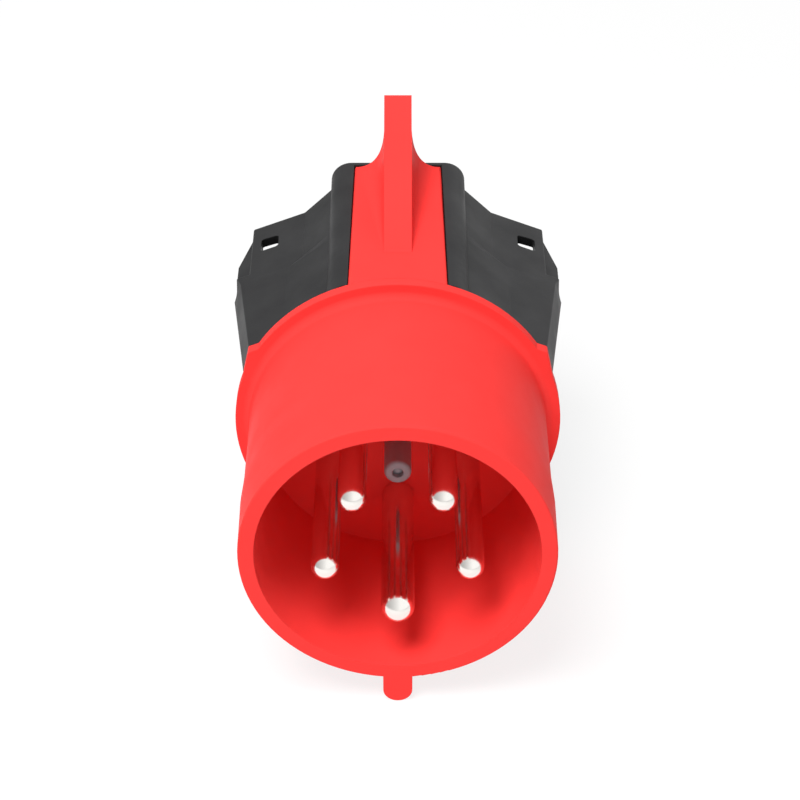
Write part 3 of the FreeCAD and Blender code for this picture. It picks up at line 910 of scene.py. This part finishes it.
@dataclass
class BlockFace:
    """Rear face of the block: a collar around each entry, ejector marks and the gate's stub."""

    bench: Bench
    entry_clearance: float = 0.4
    collar_width: float = 1.1
    collar_height: float = 0.6
    collar_chamfer: float = 0.2
    sunk: float = 0.1
    mark_radius: float = 1.6
    mark_width: float = 0.12
    mark_height: float = 0.05
    mark_chamfer: float = 0.02
    upper_marks: tuple[float, float] = (17, 12.4)
    lower_marks: tuple[float, float] = (8.6, -17.8)
    gate_radius: float = 0.7
    gate_height: float = 0.25
    gate_shares: tuple[tuple[float, float], ...] = ((0.9, 0.6), (0.5, 1.0), (0.0, 0.8))
    gate_above_axis: float = 6.2
    gate_segments: int = 24

    def washer(self, name: str, inner: float, outer: float, height: float, soft: float,
               spot: tuple[float, float]) -> None:
        """Add a flat ring that stands on the rear face.

        Args:
            name: Name of the piece.
            inner: Inner radius.
            outer: Outer radius.
            height: How far it stands proud.
            soft: Size of its chamfers.
            spot: Its x and z.
        """
        top = BLOCK_REAR + height
        rings = [
            Ring(inner, BLOCK_REAR - self.sunk),
            Ring(inner, top - soft),
            Ring(inner + soft, top),
            Ring(outer - soft, top),
            Ring(outer, top - soft),
            Ring(outer, BLOCK_REAR - self.sunk),
        ]
        self.bench.add(turned(name, rings, *spot, closed=True), "contact_block")

    def build(self) -> None:
        """Make collars, marks and stub."""
        for contact in CONTACTS:
            entry = contact.shank_radius + self.entry_clearance
            self.washer("entry_collar_" + contact.name, entry, entry + self.collar_width,
                        self.collar_height, self.collar_chamfer, contact.spot(PIN_CIRCLE))
        marks = [(side.value * x, z) for x, z in (self.upper_marks, self.lower_marks)
                 for side in Side]
        for number, spot in enumerate(marks, 1):
            self.washer("ejector_mark_%d" % number, self.mark_radius,
                        self.mark_radius + self.mark_width, self.mark_height, self.mark_chamfer,
                        spot)
        root = BLOCK_REAR - self.sunk
        stub = [Ring(0, root), Ring(self.gate_radius, root)]
        stub += [Ring(self.gate_radius * across, BLOCK_REAR + self.gate_height * up)
                 for across, up in self.gate_shares]
        mesh = turned("gate_stub", stub, 0, self.gate_above_axis, segments=self.gate_segments)
        self.bench.add(mesh, "contact_block")


@dataclass
class LeverGrip:
    """Half-round ribs across the sloping thumb face of one side lever."""

    bench: Bench
    side: Side
    front_edge: tuple[float, float] = (31.7, 76.4)
    rear_edge: tuple[float, float] = (29.3, 84.8)
    shares: tuple[float, ...] = (0.2, 0.38, 0.56, 0.74)
    rib_radius: float = 0.5
    proud: float = 0.25
    bottom: float = 0.3
    top: float = 10.6
    rib_sides: int = 20

    def build(self) -> None:
        """Make the ribs, which move with the lever."""
        (x0, d0), (x1, d1) = self.front_edge, self.rear_edge
        length = math.hypot(x1 - x0, d1 - d0)
        outward = ((d1 - d0) / length, (x0 - x1) / length)
        sink = self.rib_radius - self.proud
        for number, share in enumerate(self.shares, 1):
            x = x0 + (x1 - x0) * share - outward[0] * sink
            depth = d0 + (d1 - d0) * share - outward[1] * sink
            line = [place(self.side.value * x, depth, z) for z in (self.bottom, self.top)]
            mesh = swept_wire("grip_rib_%s_%d" % (self.side.word, number), line, self.rib_radius,
                              Vector((0, 1, 0)), sides=self.rib_sides)
            body = "latch_" + self.side.word
            self.bench.add(mesh, body, body=body)


@dataclass
class HoodRibs:
    """Low ribs along the hood's floor that guide the mating connector's shell."""

    bench: Bench
    places: tuple[float, ...] = (-12.0, -4.0, 4.0, 12.0)
    width: float = 1.2
    floor: float = -31.6
    height: float = 1.1
    sunk: float = 0.2
    front: float = 48.0
    rear: float = 83.8
    edge: float = 0.3

    def build(self) -> None:
        """Make the ribs."""
        for number, x in enumerate(self.places, 1):
            low = (x - self.width / 2, self.front, self.floor - self.sunk)
            high = (x + self.width / 2, self.rear, self.floor + self.height)
            mesh = soft_bar("hood_rib_%d" % number, low, high, self.edge)
            self.bench.add(mesh, "rear_housing")


@dataclass
class Studio:
    """Pale floor, soft light and the camera at the photograph's angle."""

    camera_place: Point = (0.4, -311.8, 252.3)
    camera_tilt_deg: float = 54.95
    lens_mm: float = 103.1
    sensor_mm: float = 36.0
    nearest_m: float = 0.01
    floor_size_m: float = 6.0
    sky_strength: float = 0.4
    left_reflection: float = 0.52
    right_reflection: float = 1.15
    reflection_span: tuple[float, float] = (-1.0, 0.3)
    softbox_place: Point = (-180.0, -257.0, 720.0)
    softbox_aim: Point = (0.0, 42.5, 0.0)
    softbox_size: float = 380.0
    softbox_watts: float = 7.4
    floor_colour: str = "e8e8e8"
    seen_floor_colour: str = "757575"
    seen_floor_glow: float = 0.82

    def build(self) -> None:
        """Make floor, world, lamp and camera."""
        self.floor()
        self.world()
        self.softbox()
        self.camera()

    def floor(self) -> None:
        """Pale floor that the camera sees as white with the adapter's shadow on it."""
        mesh = bpy.data.meshes.new("studio_floor")
        half = self.floor_size_m / 2
        mesh.from_pydata([(-half, -half, 0), (half, -half, 0), (half, half, 0), (-half, half, 0)],
                         [], [(0, 1, 2, 3)])
        floor = bpy.data.objects.new("studio_floor", mesh)
        bpy.context.scene.collection.objects.link(floor)
        material, tree = new_material("pale_studio_floor")
        plain = add_node(tree, "ShaderNodeBsdfDiffuse", inputs={"Color": linear(self.floor_colour)})
        shadowed = add_node(tree, "ShaderNodeBsdfDiffuse", inputs={
            "Color": linear(self.seen_floor_colour),
        })
        glow = add_node(tree, "ShaderNodeEmission", inputs={
            "Color": WHITE,
            "Strength": self.seen_floor_glow,
        })
        seen = add_node(tree, "ShaderNodeAddShader", inputs={
            0: shadowed.outputs[0],
            1: glow.outputs[0],
        })
        path = add_node(tree, "ShaderNodeLightPath")
        floor_surface = add_node(tree, "ShaderNodeMixShader", inputs={
            0: path.outputs["Is Camera Ray"],
            1: plain.outputs[0],
            2: seen.outputs[0],
        })
        add_node(tree, "ShaderNodeOutputMaterial", inputs={"Surface": floor_surface.outputs[0]})
        mesh.materials.append(material)

    def world(self) -> None:
        """Even sky for the light, white to the camera, brighter on the right in reflections."""
        world = bpy.data.worlds.new("studio")
        world.use_nodes = True
        tree = world.node_tree
        tree.nodes.clear()
        path = add_node(tree, "ShaderNodeLightPath")
        direction = add_node(tree, "ShaderNodeTexCoord")
        sideways = add_node(tree, "ShaderNodeSeparateXYZ", inputs={
            0: direction.outputs["Generated"],
        })
        reflected = add_node(tree, "ShaderNodeMapRange", inputs={
            "Value": sideways.outputs["X"],
            "From Min": self.reflection_span[0],
            "From Max": self.reflection_span[1],
            "To Min": self.left_reflection,
            "To Max": self.right_reflection,
        })
        light = add_node(tree, "ShaderNodeMix", inputs={
            0: path.outputs["Is Glossy Ray"],
            2: self.sky_strength,
            3: reflected.outputs["Result"],
        })
        strength = add_node(tree, "ShaderNodeMix", inputs={
            0: path.outputs["Is Camera Ray"],
            2: light.outputs[0],
            3: 1.0,
        })
        background = add_node(tree, "ShaderNodeBackground", inputs={
            "Color": WHITE,
            "Strength": strength.outputs[0],
        })
        add_node(tree, "ShaderNodeOutputWorld", inputs={"Surface": background.outputs[0]})
        bpy.context.scene.world = world

    def softbox(self) -> None:
        """Square lamp above and in front that looks at the adapter's middle."""
        data = bpy.data.lights.new("softbox", "AREA")
        data.size = self.softbox_size * MM
        data.energy = self.softbox_watts
        lamp = bpy.data.objects.new("softbox", data)
        lamp.location = place(*self.softbox_place)
        aim = place(*self.softbox_aim) - lamp.location
        lamp.rotation_euler = aim.to_track_quat("-Z", "Y").to_euler()
        lamp.visible_glossy = False
        bpy.context.scene.collection.objects.link(lamp)

    def camera(self) -> None:
        """Camera at the photograph's viewing angle."""
        data = bpy.data.cameras.new("camera")
        data.lens = self.lens_mm
        data.sensor_width = self.sensor_mm
        data.clip_start = self.nearest_m
        camera = bpy.data.objects.new("camera", data)
        camera.location = place(*self.camera_place)
        camera.rotation_euler = (math.radians(self.camera_tilt_deg), 0, 0)
        bpy.context.scene.collection.objects.link(camera)
        bpy.context.scene.camera = camera


def main() -> None:
    """Build the adapter's looks in order."""
    logging.basicConfig(level=logging.INFO, format="%(name)s: %(message)s")
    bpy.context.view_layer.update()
    finishes = Finishes().build()
    slots = {entry["node"]: entry["material_slot"] for entry in frame["record"]["subparts"]}
    CarriedSolids(finishes, slots).build()
    bench = Bench(finishes, slots)
    ContactPins(bench).build()
    CentrePost(bench).build()
    SignalPins(bench).build()
    ClampScrews(bench).build()
    SealLips(bench).build()
    BlockFace(bench).build()
    HoodRibs(bench).build()
    for side in Side:
        LeverSpring(bench, side).build()
        LeverGrip(bench, side).build()
    Studio().build()
    bpy.context.scene.view_settings.view_transform = "Standard"


if __name__ == "__main__":
    main()
